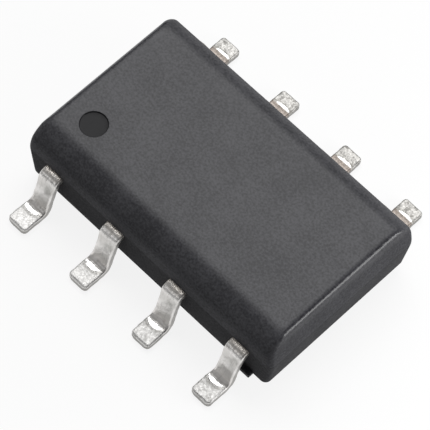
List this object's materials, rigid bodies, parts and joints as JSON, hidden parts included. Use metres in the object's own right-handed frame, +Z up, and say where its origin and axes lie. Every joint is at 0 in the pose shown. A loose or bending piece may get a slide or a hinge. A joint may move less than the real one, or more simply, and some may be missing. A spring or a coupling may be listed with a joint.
{
  "type": "soic chip",
  "caption": "Surface-mount integrated circuit: a moulded black body with rows of gull-wing leads along its long sides and a round dimple that marks the first lead.",
  "frame": {"origin": "on the board surface, midway between the two rows of leads and midway along them", "axes": "+X along the rows of leads, with lead 1 at low X and low Y; +Y across from leads 1 to 4 to leads 5 to 8; +Z up, away from the board"},
  "size_m": [0.005, 0.0044, 0.0014],
  "materials": {
    "mould_compound": "transfer-moulded black epoxy compound, fine matt grain with faint mineral filler specks",
    "tinned_copper": "copper alloy strip, stamped and formed, matt tin plated outside the moulding",
    "silver_epoxy": "cured silver-filled die attach adhesive",
    "silicon": "sawn silicon, polished circuit side",
    "gold": "drawn gold bond wire"
  },
  "bodies": {
    "root": {"body": "mould_compound", "lead_1": "tinned_copper", "lead_2": "tinned_copper", "lead_3": "tinned_copper", "lead_4": "tinned_copper", "lead_5": "tinned_copper", "lead_6": "tinned_copper", "lead_7": "tinned_copper", "lead_8": "tinned_copper", "die_attach": "silver_epoxy", "silicon_die": "silicon", "bond_wire_1": "gold", "bond_wire_2": "gold", "bond_wire_3": "gold", "bond_wire_4": "gold", "bond_wire_5": "gold", "bond_wire_6": "gold", "bond_wire_7": "gold", "bond_wire_8": "gold"}
  },
  "joints": []
}
